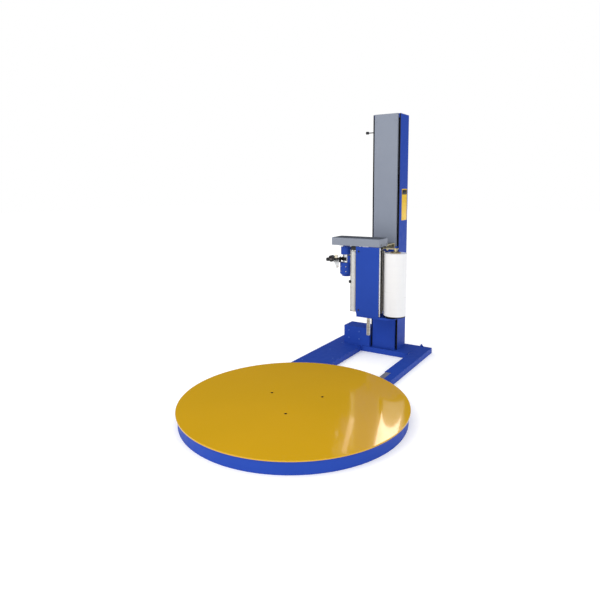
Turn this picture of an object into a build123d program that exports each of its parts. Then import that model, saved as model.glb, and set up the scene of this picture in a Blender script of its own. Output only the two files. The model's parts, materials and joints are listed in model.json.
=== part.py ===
from build123d import *
import math
import os

# Turntable pallet wrapper. Millimetres, +Z up. The origin is on the turntable's axis at floor level,
# +Y runs from the turntable to the mast and +X is to the right of somebody facing the mast.

os.makedirs("parts", exist_ok=True)

# ---- clearances ------------------------------------------------------------------------------
RUN = 0.05            # radial clearance of a pin or shaft in its bore
SKIM = 0.3            # gap between curved faces of pieces that move past each other
SEAT = 0.5            # gap between separate fixed pieces that follow the same curve

# ---- turntable -------------------------------------------------------------------------------
table_d = 1500.0
table_top = 87.0
plate_t = 8.0
lift_hole_pcd = 400.0
lift_hole_r = 7.0
lift_hole_phase = 49.5
skirt_inset = 12.0
skirt_wall = 4.0
skirt_gap = 3.0
track_r = 660.0
track_w = 40.0
track_t = 6.0
rib_w = 30.0
spoke_count = 8
spoke_w = 40.0
spoke_h = 15.0
hub_plate_r = 110.0
hub_plate_t = 8.0
post_r = 20.0
hub_wall = 20.0
hub_flange_r = 95.0
table_pulley_r = 180.0
belt_z = 26.0
belt_h = 14.0
belt_t = 5.0
roller_r = 25.0
roller_w = 24.0
roller_pin_r = 6.0
fork_t = 5.0
fork_side_gap = 1.5
fork_head = 6.0       # cheek above the roller's pin
roller_angles = (45, 135, 225, 315)
hub_lift = 5.0        # between the spokes and the turning hub
pulley_rim = 12.0
rim_lip = 1.0         # how far pulleys stand proud of their belt on each side

# ---- legs and cross-member -------------------------------------------------------------------
leg_h = 47.0
leg_wall = 4.0
left_leg_x = -493.0
left_leg_w = 292.0
right_leg_x = 249.0
right_leg_w = 116.0
right_nose_w = 63.0
right_step_y = 908.0
cross_y = 1420.0
cross_depth = 262.0
cross_flange_t = 16.0
cross_relief_w = 7.0
cross_relief_l = 150.0
lug_x = 254.0
lug_w = 36.0
lug_h = 22.0
lug_t = 6.0
shaft_hole_gap = 10.0
cover_lip = 3.0       # how far the flange strip stands in front of the cross-member

# ---- screws ----------------------------------------------------------------------------------
screw_head_r = 6.0
screw_head_t = 3.0
screw_shank_r = 3.0
screw_len = 8.0
leg_screws = [(-386.0, -14.0), (-248.0, -443.0), (-386.0, -240.0), (-447.0, -602.0)]
door_screw_edge = 10.0
door_screw_rise = (30.0, 940.0)
door_screw_drop = 40.0

# ---- table drive -----------------------------------------------------------------------------
drive_x = -338.0
drive_dy = 88.0
drive_pulley_r = 40.0
drive_shaft_r = 12.0
idler_x = -238.0
idler_dy = 8.0        # idler axis past the skirt's radius
idler_r = 22.0
idler_pin_r = 8.0
idler_flange_r = 11.0
idler_stud_r = 5.0
idler_nut_r = 9.0
idler_nut_t = 6.0
box_left = -376.0
box_dy = 7.0
box_depth = 159.0
box_h = 165.0
box_wall = 2.0
box_screw_x = (-327.0, -224.0)
box_screw_z = (57.0, 125.0)
gearbox_left = 32.0   # gearbox either side of the drive shaft
gearbox_right = 45.0
gearbox_half = 42.0
gearbox_gap = 12.0    # under the box's roof
gearbox_corner = 6.0
shaft_depth = 30.0
table_motor_r = 46.0
table_fan_r = 50.0

# ---- mast ------------------------------------------------------------------------------------
mast_w = 246.0
mast_depth = 185.0
mast_top = 2070.0
mast_dy = 48.0
wall_t = 5.0
rear_lip = 20.0
cover_w = 208.0
cover_t = 2.0
cover_return = 22.0
cover_dy = 31.0       # cover's face behind the cross-member's front
cover_split = 640.0
cap_h = 34.0
cap_t = 4.0
rail_w = 36.0
rail_t = 4.0
rail_dy = 80.0
rail_gap = 42.0
rail_bottom = 60.0
lift_pulley_r = 35.0
lift_pulley_w = 32.0
lift_axis_dy = 170.0
lift_low_z = 150.0
lift_top_drop = 84.0  # upper lift pulley below the mast's top
lift_pin_r = 8.0
lift_belt_w = 30.0
lift_belt_t = 3.0
knob_dy = 60.0
knob_drop = 145.0     # tension knob below the mast's top
knob_r = 12.0
knob_reach = 72.0
knob_rod_r = 4.0
door_side_gap = 6.0
door_t = 2.0
door_bottom = 60.0
panel_w = 180.0
panel_h = 260.0
panel_t = 4.0
panel_z = 1300.0
panel_corner = 8.0
button_row = 105.0
switch_row = 45.0
button_stem_r = 9.0
button_cap_r = 12.0
button_cap_t = 7.0
estop_cap_r = 20.0
estop_cap_t = 16.0
switch_stem_r = 8.0
switch_dial_r = 22.0
estop_travel = 4.0
button_travel = 3.0
stem_inside = 6.0
control_places = {"estop": -52.0, "start": 4.0, "stop": 52.0}

# ---- carriage --------------------------------------------------------------------------------
reach = 335.0         # from the door's front face back to the cross-member's front face
base_z = 410.0        # underside of the carriage at rest
carriage_plate_t = 8.0
carriage_left = -86.0
carriage_right = 246.0
base_nose = 140.0     # depth of the base plate's wide front part
base_corner = 35.0
frame_t = 8.0
arm_t = 6.0
arm_gap = 3.0         # between the cover's side and the carriage's arm
arm_low = 64.0       # how far the arms reach below the carriage's underside
arm_top = 550.0       # and above it
deck_z = 578.0        # underside of the top deck, above the carriage's underside
deck_t = 6.0
hood_left = -320.0
hood_right = 115.0
hood_depth = 170.0
hood_h = 62.0
hood_wall = 2.5
hood_corner = 12.0
hood_proud = 2.0      # in front of the carriage's front face

panel_left = -91.0
panel_right = 113.0
panel_sheet = 4.0
hinge_pin_r = 3.0
hinge_barrel_r = 5.5

reel_x = 219.0
reel_dy = 80.0
reel_r = 90.0
reel_low = 25.0
reel_len = 510.0
core_r = 38.0
core_wall = 5.0
core_proud = 3.0
spindle_disc_r = 86.0
spindle_disc_t = 6.0
spindle_shaft_r = 12.0

rubber_r = 34.0
rubber_a_x = 76.0
rubber_b_x = 0.0
rubber_dy = 60.0
rubber_low = 40.0
rubber_top = 538.0
journal_r = 8.0
gear_t = 12.0
gear_gap = 0.5
steel_x = 85.0
steel_dy = 125.0
steel_r = 21.0

motor_x = -220.0
motor_dy = 80.0
motor_pulley_r = 30.0
drive_side_pulley_r = 26.0
strap_w = 12.0
strap_t = 2.5

exit_x = -118.0
exit_dy = 22.0
exit_r = 24.0
exit_low = 36.0
exit_top = 534.0
exit_pin_r = 6.0
dancer_x = -62.0
dancer_dy = 42.0
dancer_arm_t = 6.0

stop_x = -17.0
stop_dy = 92.0
stop_r = 15.5
stop_len = 179.0
stop_collar_t = 6.0
stop_travel = 15.0

arm_pivot_x = 124.0
arm_plate_t = 8.0
arm_plate_w = 44.0
arm_pivot_drop = 12.0
plug_neck_r = 14.0
wheel_w = 20.0
axle_r = 8.0
wheel_margin = 60.0
bracket_x = 58.0
bracket_t = 6.0
bracket_half = 30.0
clamp_z = 620.0

flange_r = 46.0
flange_low = 497.0
ring_r = 32.0
ring_low = 427.0
body_r = 54.0
body_low = 321.0
body_chamfer = 14.0
cone_r = 72.0
cone_h = 18.0

cell_x = -332.0
cell_dy = 30.0
cell_z = 458.0
cell_r = 24.0
cell_len = 40.0
cell_pin_r = 5.0
bracket_plate_t = 5.0
band_half = 14.0
band_t = 6.0

# ---- places worked out from the sizes --------------------------------------------------------
plate_z = table_top - plate_t
skirt_r = table_d / 2 - skirt_inset
skirt_h = plate_z - skirt_gap
roller_z = plate_z - track_t - SKIM - roller_r
left_leg_in = left_leg_x + left_leg_w
right_leg_out = right_leg_x + right_leg_w
cross_back = cross_y + cross_depth
drive_y = cross_y + drive_dy
half_mast = mast_w / 2
mast_y = cross_y + mast_dy
mast_back = mast_y + mast_depth
half_cover = cover_w / 2
cover_y = cross_y + cover_dy
rail_y = cross_y + rail_dy
wheel_y = rail_y + rail_t + rail_gap / 2
lift_y = cross_y + lift_axis_dy
rail_in = half_mast - wall_t - rail_w
front_y = cross_y - reach
frame_y = cross_y - 20.0
arm_in = half_cover + arm_gap
arm_out = arm_in + arm_t
inner_y = cross_y + 56.0
deck = base_z + deck_z
hood_top = deck + hood_h
hood_y = front_y - hood_proud
plate_top = base_z + carriage_plate_t
hub_z = spoke_h + hub_lift
idler_y = skirt_r + idler_dy
wheel_r = rail_gap / 2 - SKIM
wheel_heights = (base_z - arm_low + wheel_margin, base_z + arm_top - wheel_margin)
box_screws = [(x, leg_h + z) for x in box_screw_x for z in box_screw_z]
lift_high_z = mast_top - lift_top_drop
knob_z = mast_top - knob_drop
door_w = mast_w - 2 * door_side_gap
door_screw_z = [door_bottom + rise for rise in door_screw_rise] + [mast_top - cap_h - door_screw_drop]
door_screws = [(side * (door_w / 2 - door_screw_edge), z) for side in (-1, 1) for z in door_screw_z]
panel_y = mast_back + door_t
button_row_z = panel_z + button_row
switch_z = panel_z + switch_row
hinge_x = panel_right + hinge_barrel_r
hinge_y = front_y + hinge_barrel_r + 1
arm_pivot_z = deck - arm_pivot_drop
gear_z = deck + deck_t + 3.0
strap_z = gear_z + gear_t + 5.0
gear_centres = rubber_a_x - rubber_b_x
gear_a_r = gear_centres * 0.44 - gear_gap / 2
gear_b_r = gear_centres * 0.56 - gear_gap / 2


# ---- shape helpers ---------------------------------------------------------------------------
def block(x0, x1, y0, y1, z0, z1):
    """A box between two corners."""
    return Pos((x0 + x1) / 2, (y0 + y1) / 2, (z0 + z1) / 2) * Box(x1 - x0, y1 - y0, z1 - z0)


def round_z(x, y, z0, z1, r):
    """A vertical cylinder."""
    return Pos(x, y, (z0 + z1) / 2) * Cylinder(r, z1 - z0)


def round_x(y, z, x0, x1, r):
    """A cylinder along X."""
    return Pos((x0 + x1) / 2, y, z) * Rot(0, 90, 0) * Cylinder(r, x1 - x0)


def round_y(x, z, y0, y1, r):
    """A cylinder along Y."""
    return Pos(x, (y0 + y1) / 2, z) * Rot(90, 0, 0) * Cylinder(r, y1 - y0)


def ring_z(x, y, z0, z1, outer, inner):
    """A vertical tube."""
    return round_z(x, y, z0, z1, outer) - round_z(x, y, z0 - 1, z1 + 1, inner)


def save(name, shape):
    export_step(shape, f"parts/{name}.step")


def belt_loop(wheels, half_t):
    """A closed belt line round wheels given as (x, y, radius, side), side 1 inside and -1 outside."""
    count = len(wheels)
    leave = {}
    arrive = {}
    for i in range(count):
        x1, y1, r1, s1 = wheels[i]
        x2, y2, r2, s2 = wheels[(i + 1) % count]
        span = math.hypot(x2 - x1, y2 - y1)
        k = s2 * (r2 + half_t) - s1 * (r1 + half_t)
        theta = math.atan2(y2 - y1, x2 - x1) - math.asin(k / span)
        nx, ny = -math.sin(theta), math.cos(theta)
        leave[i] = (x1 - s1 * (r1 + half_t) * nx, y1 - s1 * (r1 + half_t) * ny)
        arrive[(i + 1) % count] = (x2 - s2 * (r2 + half_t) * nx, y2 - s2 * (r2 + half_t) * ny)
    edges = []
    for i, (x, y, r, side) in enumerate(wheels):
        start = math.atan2(arrive[i][1] - y, arrive[i][0] - x)
        end = math.atan2(leave[i][1] - y, leave[i][0] - x)
        sweep = ((end - start) * side) % (2 * math.pi)
        middle = start + side * sweep / 2
        reach_r = r + half_t
        edges.append(ThreePointArc(arrive[i], (x + reach_r * math.cos(middle),
                                               y + reach_r * math.sin(middle)), leave[i]))
        edges.append(Line(leave[i], arrive[(i + 1) % count]))
    return make_face(Wire(edges))


def belt(wheels, thickness, height):
    """A flat belt round its wheels, lying in the XY plane from z = 0 upwards."""
    middle = belt_loop(wheels, thickness / 2 + SKIM)
    outer = offset(middle, amount=thickness / 2)
    inner = offset(middle, amount=-thickness / 2)
    return extrude(outer - inner, amount=height)


# ---- fasteners -------------------------------------------------------------------------------
def screw_z(x, y, z):
    return round_z(x, y, z, z + screw_head_t, screw_head_r) + round_z(x, y, z - screw_len, z, screw_shank_r)


def screw_y(x, y, z, way):
    """A screw along Y; way is -1 when its head faces -Y and 1 when it faces +Y."""
    head = round_y(x, z, min(y, y + way * screw_head_t), max(y, y + way * screw_head_t), screw_head_r)
    shank = round_y(x, z, min(y, y - way * screw_len), max(y, y - way * screw_len), screw_shank_r)
    return head + shank


def idler_bolt():
    """The shoulder bolt that hangs the idler under the left leg's top, with its nut above."""
    under = leg_h - leg_wall
    bolt = round_z(idler_x, idler_y, belt_z - 6, under, idler_pin_r)
    bolt += round_z(idler_x, idler_y, belt_z - 6, belt_z - rim_lip - SEAT, idler_flange_r)
    bolt += round_z(idler_x, idler_y, under - 1, leg_h + idler_nut_t, idler_stud_r)
    return bolt + round_z(idler_x, idler_y, leg_h, leg_h + idler_nut_t, idler_nut_r)


def frame_screws():
    pieces = [idler_bolt()]
    for x, dy in leg_screws:
        pieces.append(screw_z(x, cross_y + dy, leg_h))
    for x, z in box_screws:
        pieces.append(screw_y(x, cross_y + box_dy, z, -1))
    for x, z in door_screws:
        pieces.append(screw_y(x, mast_back + door_t, z, 1))
    return Compound(children=pieces)


# ---- base ------------------------------------------------------------------------------------
def base_skirt():
    ring = ring_z(0, 0, 0, skirt_h, skirt_r, skirt_r - skirt_wall)
    window = block(left_leg_x + leg_wall, left_leg_in - leg_wall, 0, table_d, -1, leg_h - leg_wall)
    return ring - window


def fork(angle):
    """The two cheeks and the fixed pin that carry one table roller."""
    half = roller_w / 2 + fork_side_gap
    cheek_top = roller_z + roller_pin_r + fork_head
    pieces = round_x(0, roller_z, track_r - half - fork_t, track_r + half + fork_t, roller_pin_r)
    for side in (-1, 1):
        inner = track_r + side * half
        outer = track_r + side * (half + fork_t)
        pieces += block(min(inner, outer), max(inner, outer), -spoke_w / 2, spoke_w / 2,
                        spoke_h - 1, cheek_top)
    return Rot(0, 0, angle) * pieces


def base_frame():
    star = round_z(0, 0, 0, hub_plate_t, hub_plate_r)
    inside = skirt_r - skirt_wall
    for i in range(spoke_count):
        spoke = block(0, inside - SEAT - 1, -spoke_w / 2, spoke_w / 2, 0, spoke_h)
        star += Rot(0, 0, i * 360 / spoke_count) * spoke
    for angle in roller_angles:
        star += fork(angle)
    star += round_z(0, 0, spoke_h - 1, plate_z - 8, post_r)
    return star


def table_roller(angle):
    half = roller_w / 2
    wheel = round_x(0, roller_z, track_r - half, track_r + half, roller_r)
    wheel -= round_x(0, roller_z, track_r - half - 1, track_r + half + 1, roller_pin_r + RUN)
    return Rot(0, 0, angle) * wheel


def leg_left():
    leg = block(left_leg_x, left_leg_in, 0, cross_back, 0, leg_h)
    leg -= block(left_leg_x + leg_wall, left_leg_in - leg_wall, -1, cross_back - leg_wall,
                 -1, leg_h - leg_wall)
    leg -= round_z(0, 0, -1, leg_h + 1, skirt_r + SEAT)
    leg -= block(left_leg_x - 1, left_leg_in + 1, -1, skirt_r / 4, -1, leg_h + 1)
    leg -= round_z(drive_x, drive_y, 0, leg_h + 1, drive_shaft_r + shaft_hole_gap)
    leg -= round_z(idler_x, idler_y, leg_h - leg_wall - 1, leg_h + 1, idler_stud_r + RUN)
    for x, dy in leg_screws:
        leg -= round_z(x, cross_y + dy, leg_h - screw_len - 1, leg_h + 1, screw_shank_r + RUN)
    return leg


def leg_right():
    nose_x = right_leg_out - right_nose_w
    leg = block(right_leg_x, right_leg_out, right_step_y, cross_back, 0, leg_h)
    leg += block(nose_x, right_leg_out, 0, right_step_y + leg_wall, 0, leg_h)
    leg -= block(right_leg_x + leg_wall, right_leg_out - leg_wall, right_step_y + leg_wall,
                 cross_back - leg_wall, -1, leg_h - leg_wall)
    leg -= block(nose_x + leg_wall, right_leg_out - leg_wall, -1, right_step_y + leg_wall + 1,
                 -1, leg_h - leg_wall)
    leg -= round_z(0, 0, -1, leg_h + 1, skirt_r + SEAT)
    leg -= block(nose_x - 1, right_leg_out + 1, -1, skirt_r / 4, -1, leg_h + 1)
    corners = [(lug_x, leg_h - 1), (lug_x + lug_w, leg_h - 1), (lug_x + lug_w * 0.45, leg_h + lug_h)]
    profile = make_face(Polyline(*corners, close=True))
    lug = Pos(0, cross_back, 0) * (Rot(90, 0, 0) * extrude(profile, amount=lug_t))
    return leg + lug


def leg_splice():
    """The bare steel tongue that ties the right leg to the turntable's base."""
    bar = block(right_leg_x + 8, right_leg_out - right_nose_w - SEAT, 0, right_step_y, 4, leg_h - 1)
    bar -= round_z(0, 0, 0, leg_h, skirt_r + SEAT)
    return bar - block(right_leg_x, right_leg_out, -1, skirt_r / 4, 0, leg_h)


def cross_member():
    body = block(left_leg_in, right_leg_x, cross_y, cross_back, 0, leg_h)
    body -= block(left_leg_in + cross_flange_t, right_leg_x - leg_wall, cross_y + leg_wall,
                  cross_back - leg_wall, -1, leg_h - leg_wall)
    body += block(left_leg_in, left_leg_in + cross_flange_t, cross_y - cover_lip, cross_y + 1, 0, leg_h)
    wedge = make_face(Polyline((right_leg_x + 1, cross_y - 1), (right_leg_x - cross_relief_w, cross_y - 1),
                               (right_leg_x + 1, cross_y + cross_relief_l), close=True))
    return body - Pos(0, 0, leg_h - leg_wall) * extrude(wedge, amount=leg_wall + 1)


def turntable_plate():
    disc = round_z(0, 0, plate_z, table_top, table_d / 2)
    disc = fillet(disc.edges().group_by(Axis.Z)[-1], 1.0)
    for i in range(3):
        angle = math.radians(lift_hole_phase + 120 * i)
        disc -= round_z(lift_hole_pcd / 2 * math.cos(angle), lift_hole_pcd / 2 * math.sin(angle),
                        plate_z - 1, table_top + 1, lift_hole_r)
    return disc


def table_spider():
    """Hub, belt rim, ribs and running track, welded together under the table plate."""
    ribs_z = plate_z - track_t
    hub_r = post_r + hub_wall
    body = round_z(0, 0, hub_z, plate_z, hub_r)
    body += round_z(0, 0, ribs_z - 2, plate_z, hub_flange_r)
    for angle in range(0, 180, 45):
        bar = block(-track_r, track_r, -rib_w / 2, rib_w / 2, ribs_z, plate_z)
        body += Rot(0, 0, angle) * bar
    body += ring_z(0, 0, ribs_z, plate_z, track_r + track_w / 2, track_r - track_w / 2)
    body += round_z(0, 0, belt_z + 4, belt_z + belt_h - 4, table_pulley_r)
    body += ring_z(0, 0, belt_z - rim_lip, belt_z + belt_h + rim_lip, table_pulley_r,
                   table_pulley_r - pulley_rim)
    return body - round_z(0, 0, 0, plate_z - 6, post_r + RUN)


# ---- table drive -----------------------------------------------------------------------------
def drive_wheels():
    return [(0, 0, table_pulley_r, 1), (idler_x, idler_y, idler_r, -1),
            (drive_x, drive_y, drive_pulley_r, 1)]


def drive_belt():
    return Pos(0, 0, belt_z) * belt(drive_wheels(), belt_t, belt_h)


def drive_pulley():
    body = round_z(drive_x, drive_y, belt_z - rim_lip, belt_z + belt_h + rim_lip, drive_pulley_r)
    return body + round_z(drive_x, drive_y, belt_z, leg_h + shaft_depth, drive_shaft_r)


def belt_idler():
    return ring_z(idler_x, idler_y, belt_z - rim_lip, belt_z + belt_h + rim_lip, idler_r, idler_pin_r + RUN)


def drive_box():
    y0 = cross_y + box_dy
    shell = block(box_left, -half_mast, y0, y0 + box_depth, leg_h, leg_h + box_h)
    shell = fillet(shell.edges().filter_by(Axis.Z).group_by(Axis.X)[0], 3.0)
    shell -= block(box_left + box_wall, -half_mast - box_wall, y0 + box_wall, y0 + box_depth - box_wall,
                   leg_h - 1, leg_h + box_h - box_wall)
    for x, z in box_screws:
        shell -= round_y(x, z, y0 - 1, y0 + box_wall + 1, screw_shank_r + RUN)
    return shell


def table_gearmotor():
    y = drive_y
    top = leg_h + box_h - box_wall - gearbox_gap
    right = drive_x + gearbox_right
    gearbox = block(drive_x - gearbox_left, right, y - gearbox_half, y + gearbox_half, leg_h, top)
    gearbox = fillet(gearbox.edges().filter_by(Axis.Z), gearbox_corner)
    gearbox -= round_z(drive_x, y, leg_h - 1, leg_h + shaft_depth + 1, drive_shaft_r + RUN)
    axis_z = leg_h + box_h / 2 + 14
    motor = round_x(y, axis_z, right - 1, -half_mast - 30, table_motor_r)
    fan_cover = round_x(y, axis_z, -half_mast - 32, -half_mast - box_wall - 4, table_fan_r)
    return gearbox + motor + fan_cover


# ---- mast ------------------------------------------------------------------------------------
def mast_wall(side):
    outer = side * half_mast
    inner = side * (half_mast - wall_t)
    lip = side * (half_mast - rear_lip)
    wall = block(min(outer, inner), max(outer, inner), mast_y, mast_back, leg_h, mast_top)
    wall += block(min(outer, lip), max(outer, lip), mast_back - wall_t, mast_back, leg_h, mast_top)
    for x, z in door_screws:
        if x * side > 0:
            wall -= round_y(x, z, mast_back - wall_t - 4, mast_back + 1, screw_shank_r + RUN)
    if side < 0:
        wall -= round_x(cross_y + knob_dy, knob_z, -half_mast - 1, -half_mast + wall_t + 1, knob_rod_r + RUN)
    return wall


def cover_tray(z0, z1):
    tray = block(-half_cover, half_cover, cover_y, cover_y + cover_return, z0, z1)
    return tray - block(-half_cover + cover_t, half_cover - cover_t, cover_y + cover_t,
                        cover_y + cover_return + 1, z0 - 1, z1 + 1)


def upper_cover():
    return cover_tray(cover_split + 1, mast_top)


def lower_cover():
    return cover_tray(leg_h, cover_split)


def rear_door():
    sheet = block(-door_w / 2, door_w / 2, mast_back, mast_back + door_t, door_bottom, mast_top - 4)
    for x, z in door_screws:
        sheet -= round_y(x, z, mast_back - 1, mast_back + door_t + 1, screw_shank_r + RUN)
    return sheet - control_holes()


def mast_cap():
    inside = half_mast - wall_t
    front = cover_y + cover_return
    cap = block(-inside, inside, front, mast_back - wall_t, mast_top - cap_t, mast_top)
    cap += block(-inside, inside, front, front + cap_t, mast_top - cap_h, mast_top)
    for side in (-1, 1):
        lug_in = side * (lift_pulley_w / 2 + 2)
        lug_out = side * (lift_pulley_w / 2 + 8)
        cap += block(min(lug_in, lug_out), max(lug_in, lug_out), lift_y - 15, lift_y + 15,
                     lift_high_z - 15, mast_top - 1)
    half = lift_pulley_w / 2 + 8
    return cap + round_x(lift_y, lift_high_z, -half, half, lift_pin_r)


def guide_rails():
    """Two C channels, open towards each other, that the carriage's wheels run in."""
    rails = []
    for side in (-1, 1):
        web_out = half_mast - wall_t
        ends = sorted((side * rail_in, side * web_out))
        hollow = sorted((side * (rail_in - 1), side * (web_out - rail_t)))
        channel = block(ends[0], ends[1], rail_y, rail_y + rail_gap + 2 * rail_t,
                        rail_bottom, mast_top - cap_h)
        channel -= block(hollow[0], hollow[1], rail_y + rail_t, rail_y + rail_t + rail_gap,
                         rail_bottom - 1, mast_top - cap_h + 1)
        rails.append(channel)
    return Compound(children=rails)


def lift_pulley(z, bored):
    half = lift_pulley_w / 2
    body = round_x(lift_y, z, -half, half, lift_pulley_r)
    if bored:
        return body - round_x(lift_y, z, -half - 1, half + 1, lift_pin_r + RUN)
    return body + round_x(lift_y, z, -half - 40, half, lift_pin_r)


def lift_belt():
    wheels = [(0, lift_low_z, lift_pulley_r, 1), (0, lift_high_z, lift_pulley_r, 1)]
    loop = belt(wheels, lift_belt_t, lift_belt_w)
    return Pos(-lift_belt_w / 2, lift_y, 0) * (Plane.YZ * loop)


def lift_gearmotor():
    right = -lift_pulley_w / 2 - 4
    left = right - 58
    gearbox = block(left, right, lift_y - 36, lift_y + 50, leg_h, lift_low_z + 45)
    gearbox = fillet(gearbox.edges().filter_by(Axis.Z), 6.0)
    gearbox -= round_x(lift_y, lift_low_z, right - 41, right + 1, lift_pin_r + RUN)
    middle = (left + right) / 2 - 8
    motor = round_z(middle, lift_y + 10, lift_low_z + 44, lift_low_z + 200, 38)
    return gearbox + motor + round_z(middle, lift_y + 10, lift_low_z + 198, lift_low_z + 240, 41)


def tension_knob():
    y = cross_y + knob_dy
    rod = round_x(y, knob_z, -half_mast - knob_reach + 4, -half_mast + wall_t + 8, knob_rod_r)
    head = round_x(y, knob_z, -half_mast - knob_reach, -half_mast - knob_reach + 22, knob_r)
    return rod + fillet(head.edges(), 2.5)


# ---- controls on the rear door ---------------------------------------------------------------
def control_holes():
    """The holes that the control stems pass, through the panel and the door sheet behind it."""
    y0 = mast_back - 1
    y1 = panel_y + panel_t + 1
    holes = round_y(0, switch_z, y0, y1, switch_stem_r + RUN)
    for x in control_places.values():
        holes += round_y(x, button_row_z, y0, y1, button_stem_r + RUN)
    return holes


def control_panel():
    plate = block(-panel_w / 2, panel_w / 2, panel_y, panel_y + panel_t, panel_z, panel_z + panel_h)
    plate = fillet(plate.edges().filter_by(Axis.Y), panel_corner)
    return plate - control_holes()


def button(x, cap_r, cap_t, travel):
    """A push button whose cap stands clear of the panel by its own travel."""
    face = panel_y + panel_t
    stem = round_y(x, button_row_z, mast_back - stem_inside, face + travel + 1.5, button_stem_r)
    head = round_y(x, button_row_z, face + travel + 0.5, face + travel + 0.5 + cap_t, cap_r)
    return stem + fillet(head.edges().group_by(Axis.Y)[-1], min(3.0, cap_t / 3))


def main_switch():
    face = panel_y + panel_t
    stem = round_y(0, switch_z, mast_back - stem_inside, face + 2, switch_stem_r)
    dial = round_y(0, switch_z, face + SEAT, face + 8, switch_dial_r)
    grip = block(-5, 5, face + 7, face + 26, switch_z - 20, switch_z + 20)
    return stem + dial + fillet(grip.edges().filter_by(Axis.Y), 3.0)


# ---- carriage structure ----------------------------------------------------------------------
def carriage_frame():
    """Back plate, two arms that pass the mast's slots, and the plate they carry inside the mast."""
    z0 = base_z - arm_low
    z1 = base_z + arm_top
    body = block(-arm_out, arm_out, frame_y, frame_y + frame_t, z0, z1)
    for side in (-1, 1):
        ends = sorted((side * arm_in, side * arm_out))
        body += block(ends[0], ends[1], frame_y + 1, inner_y + frame_t, z0, z1)
    return body + block(-arm_out, arm_out, inner_y, inner_y + frame_t, z0, z1)


def wheel_brackets():
    """Four cheeks that carry the two axles, and the clamp that grips the lift belt."""
    back = inner_y + frame_t
    pieces = []
    for z in wheel_heights:
        for side in (-1, 1):
            ends = sorted((side * bracket_x, side * (bracket_x + bracket_t)))
            cheek = block(ends[0], ends[1], back, wheel_y + 2 * axle_r, z - bracket_half, z + bracket_half)
            pieces.append(cheek - round_x(wheel_y, z, ends[0] - 1, ends[1] + 1, axle_r + RUN))
    reach_y = lift_y - lift_pulley_r - lift_belt_t - 2 * SKIM
    pieces.append(block(-lift_belt_w / 2 - 3, lift_belt_w / 2 + 3, back, reach_y,
                        clamp_z - bracket_half, clamp_z + bracket_half))
    return Compound(children=pieces)


def guide_wheels(z):
    outer = half_mast - wall_t - rail_t - 2
    axle = round_x(wheel_y, z, -outer, outer, axle_r)
    for side in (-1, 1):
        ends = sorted((side * outer, side * (outer - wheel_w)))
        axle += round_x(wheel_y, z, ends[0], ends[1], wheel_r)
    return axle


def roller_places():
    """Each vertical roller's name, place and journal radius."""
    return {"a": (rubber_a_x, front_y + rubber_dy), "b": (rubber_b_x, front_y + rubber_dy),
            "steel": (steel_x, front_y + steel_dy)}


def carriage_base():
    front = front_y + 1
    plate = block(carriage_left, carriage_right, front, front_y + base_nose, base_z, plate_top)
    plate = fillet(plate.edges().filter_by(Axis.Z).group_by(Axis.X)[-1], base_corner)
    plate += block(carriage_left, arm_out, front, frame_y, base_z, plate_top)
    plate += block(carriage_left, carriage_right - 50, front, front + 3, base_z - 8, base_z + 1)
    for x, y in roller_places().values():
        plate -= round_z(x, y, base_z - 1, plate_top + 1, journal_r + RUN)
    plate -= round_z(dancer_x, front_y + dancer_dy, base_z - 1, plate_top + 1, journal_r + RUN)
    plate -= round_z(reel_x, front_y + reel_dy, base_z - 1, plate_top + 1, spindle_shaft_r + RUN)
    plate -= round_z(stop_x, front_y + stop_dy, base_z - 9, plate_top + 1, stop_r + RUN)
    return plate + round_z(hinge_x, hinge_y, plate_top - 1, deck, hinge_pin_r)


def carriage_deck():
    """The top plate, which also carries the motor and the reel arm's pivot ears."""
    edge = hood_wall + SEAT
    deck_plate = block(hood_left + edge, hood_right - edge, hood_y + edge, hood_y + hood_depth - edge,
                       deck, deck + deck_t)
    deck_plate = fillet(deck_plate.edges().filter_by(Axis.Z), hood_corner - edge)
    deck_plate += block(carriage_left, hood_right - edge, front_y + hood_depth / 2, frame_y,
                        deck, deck + deck_t)
    for side in (-1, 1):
        y = front_y + reel_dy + side * (arm_plate_w / 2 + 4)
        deck_plate += block(arm_pivot_x - 24, arm_pivot_x + 6, y - 3, y + 3, arm_pivot_z - 6, deck)
    y0 = front_y + reel_dy - arm_plate_w / 2 - 4
    y1 = front_y + reel_dy + arm_plate_w / 2 + 4
    deck_plate += round_y(arm_pivot_x, arm_pivot_z, y0, y1, hinge_pin_r)
    for x, y in roller_places().values():
        deck_plate -= round_z(x, y, deck - 1, deck + deck_t + 1, journal_r + RUN)
    deck_plate -= round_z(dancer_x, front_y + dancer_dy, deck - 1, deck + deck_t + 1, journal_r + RUN)
    deck_plate -= round_z(motor_x, front_y + motor_dy, deck - 1, deck + deck_t + 1, journal_r + RUN)
    back_flange = block(-arm_out, arm_out, frame_y - deck_t, frame_y, deck - 40, deck + 1)
    return deck_plate + back_flange


def transmission_hood():
    y0 = hood_y
    shell = block(hood_left, hood_right, y0, y0 + hood_depth, deck, hood_top)
    shell = fillet(shell.edges().filter_by(Axis.Z), hood_corner)
    shell = fillet(shell.edges().group_by(Axis.Z)[-1], 4.0)
    hollow = block(hood_left + hood_wall, hood_right - hood_wall, y0 + hood_wall,
                   y0 + hood_depth - hood_wall, deck - 1, hood_top - hood_wall)
    shell -= fillet(hollow.edges().filter_by(Axis.Z), hood_corner - hood_wall)
    return shell - block(carriage_left - SEAT, hood_right - hood_wall, y0 + hood_depth / 2,
                         y0 + hood_depth + 1, deck - 1, deck + deck_t + SEAT)


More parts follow.
